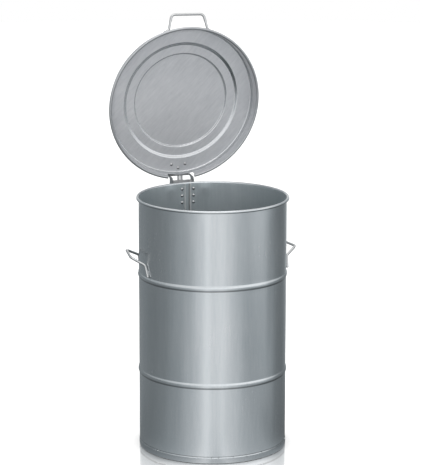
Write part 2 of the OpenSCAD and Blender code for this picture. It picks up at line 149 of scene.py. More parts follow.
SKIRT_ANGLE = math.degrees(
    math.atan2(BEAD_C[0] - LID_CORNER_C[0], LID_CORNER_C[1] - BEAD_C[1])
    - math.asin((LID_CORNER_R + RIM_R)
                / math.hypot(BEAD_C[0] - LID_CORNER_C[0], BEAD_C[1] - LID_CORNER_C[1])))

# How finely the sheets are meshed round the axis, and how finely the wall's foot, below a height
WALL_SEGMENTS = 420
RING_SEGMENTS = 360
PAN_SEGMENTS = 240
LID_SEGMENTS = 360
WALL_FINE = (24 * MM, 1.2 * MM)
# Points, heights and edges' ends that are closer than this count as one
SAME_POINT = 1e-7
SAME_HEIGHT = 1e-6
NO_LENGTH = 1e-8

# The photograph's camera
VIEW_AZIMUTH = math.radians(-20.3)
VIEW_ELEVATION = math.radians(12.493)
VIEW_ROLL = math.radians(0.078)
VIEW_FOCAL_PX = 2192.178
VIEW_LONG_SIDE_PX = 465
VIEW_DISTANCE = 5635.657 * MM
VIEW_RIGHT = -2.976 * MM
VIEW_TARGET_Z = 560.33 * MM


# Plane profiles of bent sheet

def direction(degrees):
    """Unit vector in the plane of a profile."""
    return np.array([math.cos(math.radians(degrees)), math.sin(math.radians(degrees))])


def arc(centre, radius, start, end, step=9.0):
    """Points of an arc, from start to end degrees."""
    count = max(1, math.ceil(abs(end - start) / step))
    return [np.array(centre) + radius * direction(start + (end - start) * i / count)
            for i in range(count + 1)]


def side(path, offset):
    """One side of a sheet. The path's elements are (centre, radius, start, end), and an element whose
    angles are equal is a free end, whose angle points to the left side."""
    points = []
    for centre, radius, start, end in path:
        if start == end:
            points.append(np.array(centre) + offset * direction(start))
        else:
            turned = offset if end > start else -offset
            points += arc(centre, radius - turned, start, end)
    return points


def strip(path, thickness=SHEET):
    """Closed outline of a sheet that follows a path."""
    return side(path, thickness / 2) + side(path, -thickness / 2)[::-1]


def subdivided(outline, longest, fine=None):
    """The closed outline with its long edges cut into pieces no longer than longest, and shorter ones
    below the height and length given in fine."""
    cut = []
    for a, b in zip(outline, outline[1:] + outline[:1]):
        cut.append(a)
        if fine and (a[1] - fine[0]) * (b[1] - fine[0]) < 0:
            cut.append(a + (b - a) * (fine[0] - a[1]) / (b[1] - a[1]))
    points = []
    for a, b in zip(cut, cut[1:] + cut[:1]):
        most = fine[1] if fine and max(a[1], b[1]) <= fine[0] + SAME_HEIGHT else longest
        count = max(1, math.ceil(np.linalg.norm(b - a) / most))
        points += [a + (b - a) * i / count for i in range(count)]
    return points


def two_arcs(width, height):
    """Angle and radius of two equal arcs that step over by width and height."""
    angle = 2 * math.degrees(math.atan(height / width))
    return angle, width / math.sin(math.radians(angle)) / 2


def hoop(z, offset=0.0):
    """A hoop in the wall's middle line. The offset moves the line towards the axis."""
    angle = 2 * math.degrees(math.atan(2 * HOOP_RISE / HOOP_W))
    total = HOOP_W / 2 / math.sin(math.radians(angle))
    fillet = total * HOOP_FILLET_SHARE
    crest = total - fillet
    return [((WALL_MID + fillet, z - HOOP_W / 2), fillet + offset, 180, 180 - angle),
            ((WALL_MID + HOOP_RISE - crest, z), crest - offset, -angle, angle),
            ((WALL_MID + fillet, z + HOOP_W / 2), fillet + offset, 180 + angle, 180)]


def wall_outline():
    """Outline of the body's sheet from its foot to the end of the rolled rim."""
    path = [((WALL_MID, WALL_FOOT), 0, 180, 180)]
    for z in HOOP_Z:
        path += hoop(z)
    path.append((RIM_C, RIM_R, 180, 180 - CURL))
    return strip(path)


def pan_outline():
    """Outline of the bottom pan's sheet."""
    angle, radius = two_arcs(PAN_BEAD_W / 2, PAN_BEAD_RISE)
    low = PAN_Z + radius
    return strip([
        ((0, PAN_Z), 0, 90, 90),
        ((PAN_BEAD_R - PAN_BEAD_W / 2, low), radius, 270, 270 + angle),
        ((PAN_BEAD_R, PAN_Z + PAN_BEAD_RISE - radius), radius, 90 + angle, 90 - angle),
        ((PAN_BEAD_R + PAN_BEAD_W / 2, low), radius, 270 - angle, 270),
        ((PAN_WALL_MID - PAN_CORNER_R, PAN_Z - PAN_CORNER_R), PAN_CORNER_R, 90, 0),
        ((PAN_WALL_MID, WALL_FOOT), 0, 0, 0)])


def ring_outline():
    """Outline of the base ring's sheet, with a rounded upper edge outside."""
    low = SHEET / 2 + RING_BEND_R
    top = (RING_OUT_MID, RING_H - SHEET / 2)
    path = [
        ((RING_IN_MID, RING_INNER_H), 0, 0, 0),
        ((RING_IN_MID + RING_BEND_R, low), RING_BEND_R, 180, 270),
        ((RING_OUT_MID - RING_BEND_R, low), RING_BEND_R, 270, 360)]
    return (side(path, SHEET / 2) + arc(top, SHEET / 2, 180, 0, step=30)
            + side(path, -SHEET / 2)[::-1])


def lid_outline():
    """Outline of the lid's sheet, closed."""
    ring_in = SKIRT_MID - LID_RING_W
    path = [((0, LID_RING_Z + STEP_1[1] + STEP_2[1]), 0, 90, 90)]
    for outer, top, (width, height) in (
            (ring_in - STEP_1[0] - LID_LAND_W, LID_RING_Z + STEP_1[1] + STEP_2[1], STEP_2),
            (ring_in, LID_RING_Z + STEP_1[1], STEP_1)):
        angle, radius = two_arcs(width, height)
        path += [((outer - width, top - radius), radius, 90, 90 - angle),
                 ((outer, top - height + radius), radius, 270 - angle, 270)]
    path += [(LID_CORNER_C, LID_CORNER_R, 90, SKIRT_ANGLE),
             (BEAD_C, RIM_R, 180 + SKIRT_ANGLE, 180 + SKIRT_ANGLE + CURL)]
    return strip(path)


# Meshes

def finish_mesh(name, mesh, body, stands_for=(), sharp=30):
    """Links a mesh, shades it smooth and hangs it on its body."""
    obj = bpy.data.objects.new(name, mesh)
    bpy.context.scene.collection.objects.link(obj)
    mesh.shade_smooth()
    mesh.set_sharp_from_angle(angle=math.radians(sharp))
    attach(obj, body)
    if stands_for:
        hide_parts(*stands_for)
    return obj


def revolved(name, outline, segments, shift=None, longest=9 * MM, fine=None):
    """A mesh that turns a closed outline round the can's axis. shift(radius, angle, z) gives how far
    a point moves outwards."""
    outline = np.array(subdivided(outline, longest, fine))
    count = len(outline)
    angles = 2 * math.pi * (np.arange(segments) + 0.5) / segments
    radius, angle = np.meshgrid(outline[:, 0], angles)
    height = np.meshgrid(outline[:, 1], angles)[0]
    if shift is not None:
        radius = radius + shift(radius, angle, height)
    points = np.stack([radius * np.sin(angle), radius * np.cos(angle), height], -1)
    points = points.reshape(-1, 3)
    faces = [(s * count + i, s * count + (i + 1) % count,
              (s + 1) % segments * count + (i + 1) % count, (s + 1) % segments * count + i)
             for s in range(segments) for i in range(count)]
    mesh = bpy.data.meshes.new(name)
    mesh.from_pydata(points.tolist(), [], faces)
    tidy(mesh)
    return mesh


def tidy(mesh):
    """Merges doubled points, drops faces without area and turns all faces outwards."""
    work = bmesh.new()
    work.from_mesh(mesh)
    bmesh.ops.remove_doubles(work, verts=work.verts, dist=SAME_POINT)
    bmesh.ops.dissolve_degenerate(work, edges=work.edges, dist=NO_LENGTH)
    bmesh.ops.recalc_face_normals(work, faces=work.faces)
    work.to_mesh(mesh)
    work.free()


def smooth_step(low, high, value):
    """Rises from 0 at low to 1 at high, for arrays too."""
    share = np.clip((value - low) / (high - low), 0, 1)
    return share * share * (3 - 2 * share)


def thrown_back(mesh):
    """Swings a mesh of the closed lid back to its stop."""
    turn = Matrix.Rotation(-OPEN_ANGLE, 4, "X")
    mesh.transform(Matrix.Translation(PIN) @ turn @ Matrix.Translation(-PIN))


# Uneven sheet

# Waves round the wall: their number, their height in millimetres and their phase
WAVES = [(9, 0.11, 0.4), (14, 0.10, 2.1), (23, 0.09, 0.9), (31, 0.05, 4.4), (47, 0.025, 1.7)]
WAVE_LENGTH = 300 * MM
# How far the waves wander round the wall on their way up, and how often
WAVE_WANDER = 1.3
WAVE_WANDER_RATE = 2.1
# Slanting waves: their number, their height, how they climb and their phase
TWIST_COUNT = 5
TWIST_H = 0.10 * MM
TWIST_RATE = 9.0
TWIST_PHASE = 0.6
WAVE_FOOT = (18 * MM, 60 * MM)
WAVE_TOP = (600 * MM, 650 * MM)
GROOVE_Z = 16.2 * MM
GROOVE_DEPTH = 1.0 * MM
GROOVE_HALF_W = 1.5 * MM
CRIMP_COUNT = 26
CRIMP_Z = 18.5 * MM
CRIMP_HALF_W = 3.2 * MM
CRIMP_HALF_H = 2.4 * MM
CRIMP_DRIFT = 0.3
CRIMP_DEPTH = (0.25, 0.6)
# The angle round the can and the depth of each crimp mark
random.seed(7)
CRIMPS = [(2 * math.pi * (i + random.uniform(-CRIMP_DRIFT, CRIMP_DRIFT)) / CRIMP_COUNT,
           random.uniform(*CRIMP_DEPTH) * MM) for i in range(CRIMP_COUNT)]
# Dents of the wall under the rim behind: their place across and their depth
DENTS = [(-51 * MM, 1.6 * MM), (46 * MM, 1.3 * MM)]
DENT_HALF_W = 13 * MM
DENT_FOOT = (606 * MM, 640 * MM)
DENT_TOP = (644 * MM, 650 * MM)


def wall_shift(radius, angle, z):
    """Slow waves round the wall, fading at the foot and the rim, a groove and small crimp marks by
    the base ring, and dents under the rim."""
    turns = z / WAVE_LENGTH
    waves = sum(size * np.sin(count * angle + phase
                              + WAVE_WANDER * np.sin(WAVE_WANDER_RATE * turns + count))
                for count, size, phase in WAVES) * MM
    waves = waves + TWIST_H * np.sin(TWIST_COUNT * angle + TWIST_RATE * turns + TWIST_PHASE)
    fade = smooth_step(*WAVE_FOOT, z) * (1 - smooth_step(*WAVE_TOP, z))
    crimps = 0
    for at, depth in CRIMPS:
        away = (np.mod(angle - at + math.pi, 2 * math.pi) - math.pi) * BODY_R
        crimps = crimps + depth * np.exp(-(away / CRIMP_HALF_W) ** 2
                                         - ((z - CRIMP_Z) / CRIMP_HALF_H) ** 2)
    groove = GROOVE_DEPTH * np.exp(-((z - GROOVE_Z) / GROOVE_HALF_W) ** 2)
    across = radius * np.sin(angle)
    behind = np.cos(angle) > 0
    near_rim = smooth_step(*DENT_FOOT, z) * (1 - smooth_step(*DENT_TOP, z))
    dents = sum(depth * np.exp(-((across - x) / DENT_HALF_W) ** 2) for x, depth in DENTS)
    return waves * fade - crimps - groove - dents * near_rim * behind


LID_BOW = 0.35 * MM
LID_BOW_PATCHES = 9
LID_BOW_START = Vector((3, 1, 2))
LID_CALM = (150 * MM, 190 * MM)


def lid_shift_z(points):
    """How far the lid's flat sheet bows, for points (x, y, z)."""
    away = np.hypot(points[:, 0], points[:, 1])
    calm = 1 - smooth_step(*LID_CALM, away)
    return calm * LID_BOW * np.array(
        [noise.noise(Vector((x, y, 0)) * LID_BOW_PATCHES + LID_BOW_START) for x, y, _ in points])


# The can's body

body_shell = finish_mesh(
    "body_sheet",
    revolved("body_sheet", wall_outline(), WALL_SEGMENTS, wall_shift, fine=WALL_FINE),
    "can", ["body_shell"])
base_ring = finish_mesh(
    "base_band", revolved("base_band", ring_outline(), RING_SEGMENTS),
    "can", ["base_ring"])
bottom_pan = finish_mesh(
    "bottom_sheet", revolved("bottom_sheet", pan_outline(), PAN_SEGMENTS, longest=20 * MM),
    "can", ["bottom_pan"])

# Drops of zinc on the wall: the angle round the can and the radius in millimetres
DROPS = [(247.5, 1.6), (201.0, 1.2), (195.5, 1.3), (184.0, 1.3), (172.8, 1.8), (158.1, 1.4),
         (118.0, 1.5), (62.0, 1.3), (20.0, 1.6), (331.0, 1.4), (287.0, 1.5)]
DROP_Z = 15.4 * MM


def drops_mesh():
    """Small drops of zinc on the wall, just above the base ring."""
    work = bmesh.new()
    for degrees, size in DROPS:
        at = math.radians(degrees)
        where = Vector((BODY_R * math.sin(at), BODY_R * math.cos(at), DROP_Z))
        bmesh.ops.create_icosphere(work, subdivisions=3, radius=size * MM,
                                   matrix=Matrix.Translation(where))
    mesh = bpy.data.meshes.new("zinc_drops")
    work.to_mesh(mesh)
    work.free()
    return mesh


zinc_drops = finish_mesh("zinc_drops", drops_mesh(), "can")


# Strips across the wall's lap, in millimetres from its middle: where each starts to rise, where it is
# up, where it starts to fall, and its end
LAP_FLAT = (-10.0, -8.6, 1.6, 2.8)
LAP_EDGE = (4.2, 5.4, 8.4, 10.0)
LAP_OUTSIDE = (-10.0, -9.0, 8.2, 10.0)
LAP_BORDER = -8.2
LAP_BORDER_HALF_W = 0.9
# How far the strips and the border stand off the wall, in millimetres
LAP_FLAT_H = 0.9
LAP_EDGE_H = 1.5
LAP_BORDER_H = 0.35
LAP_OUTSIDE_H = 0.5


def strip_share(x, start, up, down, end):
    """1 on a strip and 0 beside it, with soft edges."""
    return smooth_step(start, up, x) * (1 - smooth_step(down, end, x))


def inner_rise(x):
    """How far the lap stands off the wall inside, in millimetres: a flat strip with a raised border,
    a groove and a thicker edge."""
    border = np.exp(-((x - LAP_BORDER) / LAP_BORDER_HALF_W) ** 2)
    return (LAP_FLAT_H * strip_share(x, *LAP_FLAT) + LAP_EDGE_H * strip_share(x, *LAP_EDGE)
            + LAP_BORDER_H * border)


def outer_rise(x):
    """The same outside: one flat strip."""
    return LAP_OUTSIDE_H * strip_share(x, *LAP_OUTSIDE)


def lap_line(outwards, top):
    """Points (radius, height) up the wall's outside, or its inside if outwards is -1, to a height."""
    path = ([((WALL_MID, SEAM_FOOT_Z), 0, 180, 180)] + hoop(HOOP_Z[0]) + hoop(HOOP_Z[1])
            + [((WALL_MID, RIM_C[1]), 0, 180, 180)])
    line = [p for p in side(path, -outwards * SHEET / 2) if p[1] < top]
    line.append(np.array([line[-1][0], top]))
    dense = []
    for a, b in zip(line, line[1:]):
        count = max(1, math.ceil(np.linalg.norm(b - a) / SEAM_ROW_H))
        dense += [a + (b - a) * i / count for i in range(count)]
    dense.append(line[-1])
    return dense


def lap_mesh(name, outwards, rise, top):
    """One side of the wall's lap at the back, which follows the hoops, with a row of spot welds."""
    line = lap_line(outwards, top)
    columns = np.linspace(-SEAM_HALF_W, SEAM_HALF_W, SEAM_COLUMNS)
    rises = rise(columns / MM) * MM
    front = []
    back = []
    for r, z in line:
        near = ((z / SEAM_WELD_PITCH) % 1 - 0.5) * SEAM_WELD_PITCH
        for x, up in zip(columns, rises):
            away = math.hypot(x - SEAM_WELD_X, near)
            dot = SEAM_WELD_DEPTH * math.exp(-(away / SEAM_WELD_R) ** 2)
            for points, height in ((front, up - dot + SEAM_LIFT), (back, -SEAM_ROOT)):
                reach = r + outwards * height
                points.append((x, math.sqrt(reach * reach - x * x), z))
    width = len(columns)
    rows = len(line)
    shift = len(front)
    faces = []
    for j in range(rows - 1):
        for i in range(width - 1):
            a = j * width + i
            faces.append((a, a + 1, a + width + 1, a + width))
            faces.append((shift + a, shift + a + width, shift + a + width + 1, shift + a + 1))
    border = (list(range(width)) + [j * width + width - 1 for j in range(1, rows)]
              + [(rows - 1) * width + i for i in range(width - 2, -1, -1)]
              + [j * width for j in range(rows - 2, 0, -1)])
    faces += [(a, shift + a, shift + b, b) for a, b in zip(border, border[1:] + border[:1])]
    mesh = bpy.data.meshes.new(name)
    mesh.from_pydata(front + back, [], faces)
    tidy(mesh)
    return mesh


side_seam = finish_mesh("side_seam", lap_mesh("side_seam", -1, inner_rise, RIM_C[1]),
                        "can", sharp=50)
outer_seam = finish_mesh("outer_seam", lap_mesh("outer_seam", 1, outer_rise, OUTER_SEAM_TOP),
                         "can", sharp=50)


# The lid

def lid_mesh():
    """The pressed lid, cut away at the hinge and thrown back."""
    mesh = revolved("lid_sheet", lid_outline(), LID_SEGMENTS)
    points = np.array([v.co for v in mesh.vertices])
    points[:, 2] += lid_shift_z(points)
    mesh.vertices.foreach_set("co", points.ravel())
    whole = bpy.data.objects.new("whole_lid", mesh)
    bpy.context.scene.collection.objects.link(whole)
    cutter_mesh = bpy.data.meshes.new("notch")
    work = bmesh.new()
    near, far = NOTCH_Y
    place = Matrix.Translation((0, (near + far) / 2, NOTCH_TOP / 2))
    size = Matrix.Diagonal((2 * NOTCH_HALF_W, far - near, NOTCH_TOP, 1))
    bmesh.ops.create_cube(work, size=1, matrix=place @ size)
    work.to_mesh(cutter_mesh)
    work.free()
    cutter = bpy.data.objects.new("notch", cutter_mesh)
    bpy.context.scene.collection.objects.link(cutter)
    cut = whole.modifiers.new("notch", "BOOLEAN")
    cut.operation = "DIFFERENCE"
    cut.object = cutter
    cut.solver = "EXACT"
    result = bpy.data.meshes.new_from_object(
        whole.evaluated_get(bpy.context.evaluated_depsgraph_get()))
    for obj in (whole, cutter):
        bpy.data.objects.remove(obj)
    result.name = "lid_sheet"
    thrown_back(result)
    return result


lid_shell = finish_mesh("lid_sheet", lid_mesh(), "lid", ["lid_shell"])


# Wire handles

def bent_line(corners, bend, step=7.5):
    """Points along straight stretches with round bends at the inner corners."""
    points = [Vector(corners[0])]
    for before, corner, after in zip(corners, corners[1:], corners[2:]):
        u = (Vector(corner) - Vector(before)).normalized()
        v = (Vector(after) - Vector(corner)).normalized()
        turn = u.angle(v)
        centre = Vector(corner) + (v - u).normalized() * bend / math.cos(turn / 2)
        start = Vector(corner) - u * bend * math.tan(turn / 2) - centre
        count = max(2, math.ceil(math.degrees(turn) / step))
        axis = u.cross(v).normalized()
        points += [centre + Matrix.Rotation(turn * i / count, 3, axis) @ start
                   for i in range(count + 1)]
    points.append(Vector(corners[-1]))
    return points


def tube_mesh(name, line, radius, sides=28, rounding=0.9 * MM, longest=6 * MM, cap_steps=4):
    """A round wire along a line, with softly rounded ends."""
    dense = [line[0]]
    for a, b in zip(line, line[1:]):
        count = max(1, math.ceil((b - a).length / longest))
        dense += [a + (b - a) * i / count for i in range(1, count + 1)]
    tangents = [(dense[min(i + 1, len(dense) - 1)] - dense[max(i - 1, 0)]).normalized()
                for i in range(len(dense))]
    normal = tangents[0].orthogonal().normalized()
    rings = []
    for point, tangent in zip(dense, tangents):
        normal = (normal - tangent * normal.dot(tangent)).normalized()
        rings.append((point, tangent, normal.copy(), radius))
    caps = []
    for (point, tangent, normal, _), out in ((rings[0], -tangents[0]), (rings[-1], tangents[-1])):
        turns = [math.pi / 2 * k / cap_steps for k in range(cap_steps + 1)]
        caps.append([(point - out * rounding * (1 - math.sin(turn)), tangent, normal,
                      radius - rounding * (1 - math.cos(turn))) for turn in turns])
    rings = caps[0][::-1] + rings[1:-1] + caps[1]
    points = []
    for point, tangent, normal, size in rings:
        other = tangent.cross(normal)
        points += [point + (normal * math.cos(a) + other * math.sin(a)) * size
                   for a in (2 * math.pi * s / sides for s in range(sides))]
    return tube_of_rings(name, points, sides)


def tube_of_rings(name, points, sides):
    """A closed mesh round rings of points, with a face at each end."""
    last = len(points) - sides
    faces = []
    for low in range(0, last, sides):
        for s in range(sides):
            a = low + s
            b = low + (s + 1) % sides
            faces.append((a, b, b + sides, a + sides))
    faces.append(tuple(range(sides))[::-1])
    faces.append(tuple(range(last, len(points))))
    mesh = bpy.data.meshes.new(name)
    mesh.from_pydata(points, [], faces)
    tidy(mesh)
    return mesh


def skirt_out(z):
    """Radius of the closed lid's skirt outside, at height z."""
    top = np.array(LID_CORNER_C) + (LID_CORNER_R + SHEET / 2) * direction(SKIRT_ANGLE)
    return top[0] + (top[1] - z) * math.tan(math.radians(SKIRT_ANGLE))


def seated(radius, y, z):
    """Point of a handle's wire that lies on a round wall, at y and z."""
    return (math.sqrt((radius + HANDLE_SEAT + HANDLE_R) ** 2 - y * y), y, z)


def handle_corners(grip_x, grip_z, root, root_r, root_z, foot_r, foot_z, splay):
    """Corners of a wire handle on a round wall, towards +X."""
    half = [seated(foot_r, root + splay, foot_z), seated(root_r, root, root_z),
            (grip_x, HANDLE_GRIP, grip_z)]
    return half + [(x, -y, z) for x, y, z in half[::-1]]


SIDE_CORNERS = handle_corners(
    BODY_R + SIDE_REACH, SIDE_ROOT_Z + SIDE_RISE, SIDE_ROOT, BODY_R, SIDE_ROOT_Z,
    BODY_R, SIDE_ROOT_Z - SIDE_LEG, SIDE_SPLAY)
LID_CORNERS = handle_corners(
    SKIRT_MID + SHEET / 2 + LID_GRIP_REACH, BEAD_Z + LID_GRIP_RISE, LID_ROOT,
    skirt_out(BEAD_Z + LID_ROOT_RISE), BEAD_Z + LID_ROOT_RISE,
    skirt_out(BEAD_Z + LID_FOOT_RISE), BEAD_Z + LID_FOOT_RISE, LID_FOOT_SPLAY)


def weld_mesh(name, a, b, inward, seed, rows=14, sides=12):
    """A fillet weld: a low lumpy bead along a wire's foot, from a to b, against the sheet."""
    random.seed(seed)
    along = b - a
    across = along.cross(inward).normalized()
    points = []
    for r in range(rows + 1):
        share = r / rows
        size = math.sin(math.pi * min(max(share, WELD_END), 1 - WELD_END)) ** WELD_ROUNDNESS
        lump = (1 + WELD_LUMP * math.sin(share * WELD_LUMP_RATE + seed)
                + random.uniform(-WELD_ROUGHNESS, WELD_ROUGHNESS))
        for s in range(sides):
            angle = 2 * math.pi * s / sides
            points.append(a + along * share + across * math.cos(angle) * WELD_HALF_W * size * lump
                          + inward * math.sin(angle) * WELD_RISE * size)
    return tube_of_rings(name, points, sides)


def add_handle(name, corners, turn, body, node, thrown):
    """A wire handle with its two welds, turned about the can's axis."""
    spin = Matrix.Rotation(turn, 4, "Z")
    points = [spin @ Vector(c) for c in corners]
    wire = tube_mesh(name, bent_line(points, HANDLE_BEND_R), HANDLE_R)
    parts = [(name, wire, [node])]
    for tag, foot, root in (("a", points[0], points[1]), ("b", points[-1], points[-2])):
        start, end = (foot + (root - foot) * share for share in WELD_SPAN)
        inward = -Vector((start.x, start.y, 0)).normalized()
        offset = inward * (HANDLE_R * WELD_SINK)
        weld = name + "_weld_" + tag
        seed = len(name) + ord(tag)
        parts.append((weld, weld_mesh(weld, start + offset, end + offset, inward, seed), []))
    made = []
    for part, mesh, stands_for in parts:
        if thrown:
            thrown_back(mesh)
        made.append(finish_mesh(part, mesh, body, stands_for, sharp=50))
    return made


handles = add_handle("grip_left", SIDE_CORNERS, math.pi - LEFT_TURN, "can", "handle_left", False)
handles += add_handle("grip_right", SIDE_CORNERS, RIGHT_TURN, "can", "handle_right", False)
handles += add_handle("grip_lid", LID_CORNERS, LID_HANDLE_TURN - math.pi / 2, "lid",
                      "lid_handle", True)


# Materials

def node_maker(material):
    """Returns a function that adds a node with settings and linked or plain inputs."""
    tree = material.node_tree

    def make(kind, inputs=None, **settings):
        made = tree.nodes.new(kind)
        for key, value in settings.items():
            setattr(made, key, value)
        for key, value in (inputs or {}).items():
            socket = made.inputs[key]
            if isinstance(value, bpy.types.NodeSocket):
                tree.links.new(value, socket)
            else:
                socket.default_value = value
        return made

    return make


DRIFT_SCALE = 6.0
STREAK_SCALE = 220.0
CRYSTAL_SCALE = 170.0
BLEND_LOW = 0.3
BLEND_HIGH = 0.7
GRAIN_STRENGTH = 0.04
GRAIN_DEPTH = 0.2 * MM
# How far a face looks down, as the height of its normal, where the painted shade is full and where it
# ends
PAINTED_SHADE_SLOPE = (-0.42, -0.06)


def metal(name, dark, light, rough, grain=1.0, brushed=(1, 1, 1), turned=0.0, spangle=0.0,
          metallic=1.0, painted_shade=0.0):
    """Zinc-coated steel: its grey drifts slowly, its gloss varies, and a fine grain lies over it.
    A painted shade darkens the places that look down, such as the lower flanks of hoops and rims."""
    material = bpy.data.materials.new(name)
    material.use_nodes = True
    material.node_tree.nodes.clear()
    make = node_maker(material)
    where = make("ShaderNodeTexCoord").outputs["Object"]
    slow = make("ShaderNodeTexNoise", {"Vector": where, "Scale": DRIFT_SCALE, "Detail": 2.0})
    stretched = make("ShaderNodeMapping", {
        "Vector": where, "Rotation": (0, math.radians(turned), 0),
        "Scale": [1 / share for share in brushed]}, vector_type="TEXTURE")
    streaks = make("ShaderNodeTexNoise", {
        "Vector": stretched.outputs["Vector"], "Scale": STREAK_SCALE, "Detail": 4.0,
        "Roughness": 0.6})
    crystals = make("ShaderNodeTexVoronoi", {
        "Vector": where, "Scale": CRYSTAL_SCALE, "Randomness": 1.0})
    flake = make("ShaderNodeMix", {
        "Factor": spangle, "A": slow.outputs["Fac"], "B": crystals.outputs["Color"]},
        data_type="FLOAT")
    mixed = make("ShaderNodeMath", {0: flake.outputs["Result"], 1: streaks.outputs["Fac"]},
                 operation="ADD")
    half = make("ShaderNodeMath", {0: mixed.outputs[0], 1: 0.5}, operation="MULTIPLY")
    colour = make("ShaderNodeValToRGB", {"Fac": half.outputs[0]})
    colour.color_ramp.elements[0].position = BLEND_LOW
    colour.color_ramp.elements[0].color = (*dark, 1)
    colour.color_ramp.elements[1].position = BLEND_HIGH
    colour.color_ramp.elements[1].color = (*light, 1)
    gloss = make("ShaderNodeMapRange", {
        "Value": half.outputs[0], "From Min": BLEND_LOW, "From Max": BLEND_HIGH,
        "To Min": rough[0], "To Max": rough[1]})
    bump = make("ShaderNodeBump", {
        "Height": streaks.outputs["Fac"], "Strength": GRAIN_STRENGTH * grain,
        "Distance": GRAIN_DEPTH})
    facing = make("ShaderNodeSeparateXYZ", {
        "Vector": make("ShaderNodeNewGeometry").outputs["Normal"]})
    # Painted shade: faces that look down get a darker colour
    under = make("ShaderNodeMapRange", {
        "Value": facing.outputs["Z"], "From Min": PAINTED_SHADE_SLOPE[0], "From Max": PAINTED_SHADE_SLOPE[1],
        "To Min": 1 - painted_shade, "To Max": 1.0})
    shaded_colour = make("ShaderNodeVectorMath", {
        0: colour.outputs["Color"], "Scale": under.outputs["Result"]}, operation="SCALE")
    shader = make("ShaderNodeBsdfPrincipled", {
        "Base Color": shaded_colour.outputs["Vector"] if painted_shade else colour.outputs["Color"],
        "Metallic": metallic,
        "Roughness": gloss.outputs["Result"], "Normal": bump.outputs["Normal"]})
    make("ShaderNodeOutputMaterial", {"Surface": shader.outputs["BSDF"]})
    return material


# Where a metal is given a shade share, faces that look down are darkened by it: painted shade on the
# lower flanks of hoops, rims, beads, wires and rivets
SHEET_METAL = metal("galvanized_sheet", (0.55, 0.585, 0.60), (0.62, 0.64, 0.65),
                    (0.22, 0.28), grain=0.4, brushed=(1, 1, 0.08), spangle=0.1, painted_shade=0.6)
BAND_METAL = metal("galvanized_band", (0.42, 0.445, 0.46), (0.52, 0.54, 0.55),
                   (0.16, 0.24), spangle=0.1, painted_shade=0.5)
# A darker, duller copy of the sheet for the can's inside, its bottom and the middle of the lap:
# painted shade inside the can
SHADED_INSIDE_METAL = metal("galvanized_inside_shaded", (0.45, 0.505, 0.525), (0.535, 0.58, 0.60),
                     (0.42, 0.54), brushed=(1, 1, 0.08), spangle=0.25, metallic=0.85)
# A lighter copy of the sheet for the lap's edges and the zinc drops: painted highlight
LIT_SEAM_METAL = metal("galvanized_lap_lit", (0.62, 0.65, 0.66), (0.70, 0.71, 0.715),
                   (0.28, 0.38), brushed=(1, 1, 0.08), spangle=0.25, metallic=0.55)
# A dark copy of the sheet for the lap's groove: painted shade
SHADED_GROOVE_METAL = metal("galvanized_groove_shaded", (0.26, 0.28, 0.29), (0.34, 0.35, 0.36), (0.5, 0.6),
                     brushed=(1, 1, 0.08), metallic=0.8)
LID_METAL = metal("galvanized_lid_sheet", (0.44, 0.455, 0.48), (0.605, 0.615, 0.635),
                  (0.27, 0.37), brushed=(0.06, 1, 1), turned=-48, spangle=0.1, metallic=0.2)
# A lighter, glossier copy of the lid's metal for its steps and corner: painted highlight
LIT_EDGE_METAL = metal("galvanized_lid_edge_lit", (0.57, 0.585, 0.60), (0.64, 0.65, 0.655),
                   (0.20, 0.28), spangle=0.2, metallic=0.95)
# A darker copy of the lid's metal for its bead: painted shade
SHADED_BEAD_METAL = metal("galvanized_bead_shaded", (0.40, 0.415, 0.43), (0.48, 0.49, 0.50),
                   (0.26, 0.34), spangle=0.1, metallic=0.75, painted_shade=0.35)
WIRE_METAL = metal("galvanized_wire", (0.48, 0.49, 0.495), (0.56, 0.56, 0.56), (0.20, 0.30),
                   painted_shade=0.45)
PLATE_METAL = metal("zinc_plated_plate", (0.42, 0.43, 0.435), (0.50, 0.50, 0.50), (0.24, 0.36))
# A lighter copy of the plated metal for the hinge bracket, whose top lies in shade: painted light
LIT_BRACKET_METAL = metal("zinc_plated_bracket_lit", (0.58, 0.59, 0.60), (0.67, 0.67, 0.67), (0.26, 0.38),
                      metallic=0.55)
PIN_METAL = metal("zinc_plated_pins", (0.42, 0.43, 0.43), (0.50, 0.50, 0.50), (0.22, 0.32),
                  painted_shade=0.65)


def paint(obj, material):
    """Gives an object one material."""
    obj.data.materials.clear()
    obj.data.materials.append(material)


def paint_inside(obj):
    """Gives the faces of the wall that look inwards, below the rim, the darker, duller metal, a
    painted shade inside the can.
    """
    obj.data.materials.append(SHADED_INSIDE_METAL)
    for face in obj.data.polygons:
        if face.normal.xy.dot(face.center.xy) < 0 and face.center.z < RIM_C[1]:
            face.material_index = 1


def paint_seam(obj):
    """Lighter metal on the lap's edges as painted highlight, the darker inside metal between them as
    painted shade, and a dark metal in the groove as painted shade.
    """
    for material in (LIT_SEAM_METAL, SHADED_INSIDE_METAL, SHADED_GROOVE_METAL):
        obj.data.materials.append(material)
    for face in obj.data.polygons:
        x = face.center.x
        if SEAM_GROOVE_X[0] < x < SEAM_GROOVE_X[1]:
            face.material_index = 2
        elif SEAM_FLAT_X < x <= SEAM_GROOVE_X[0]:
            face.material_index = 1


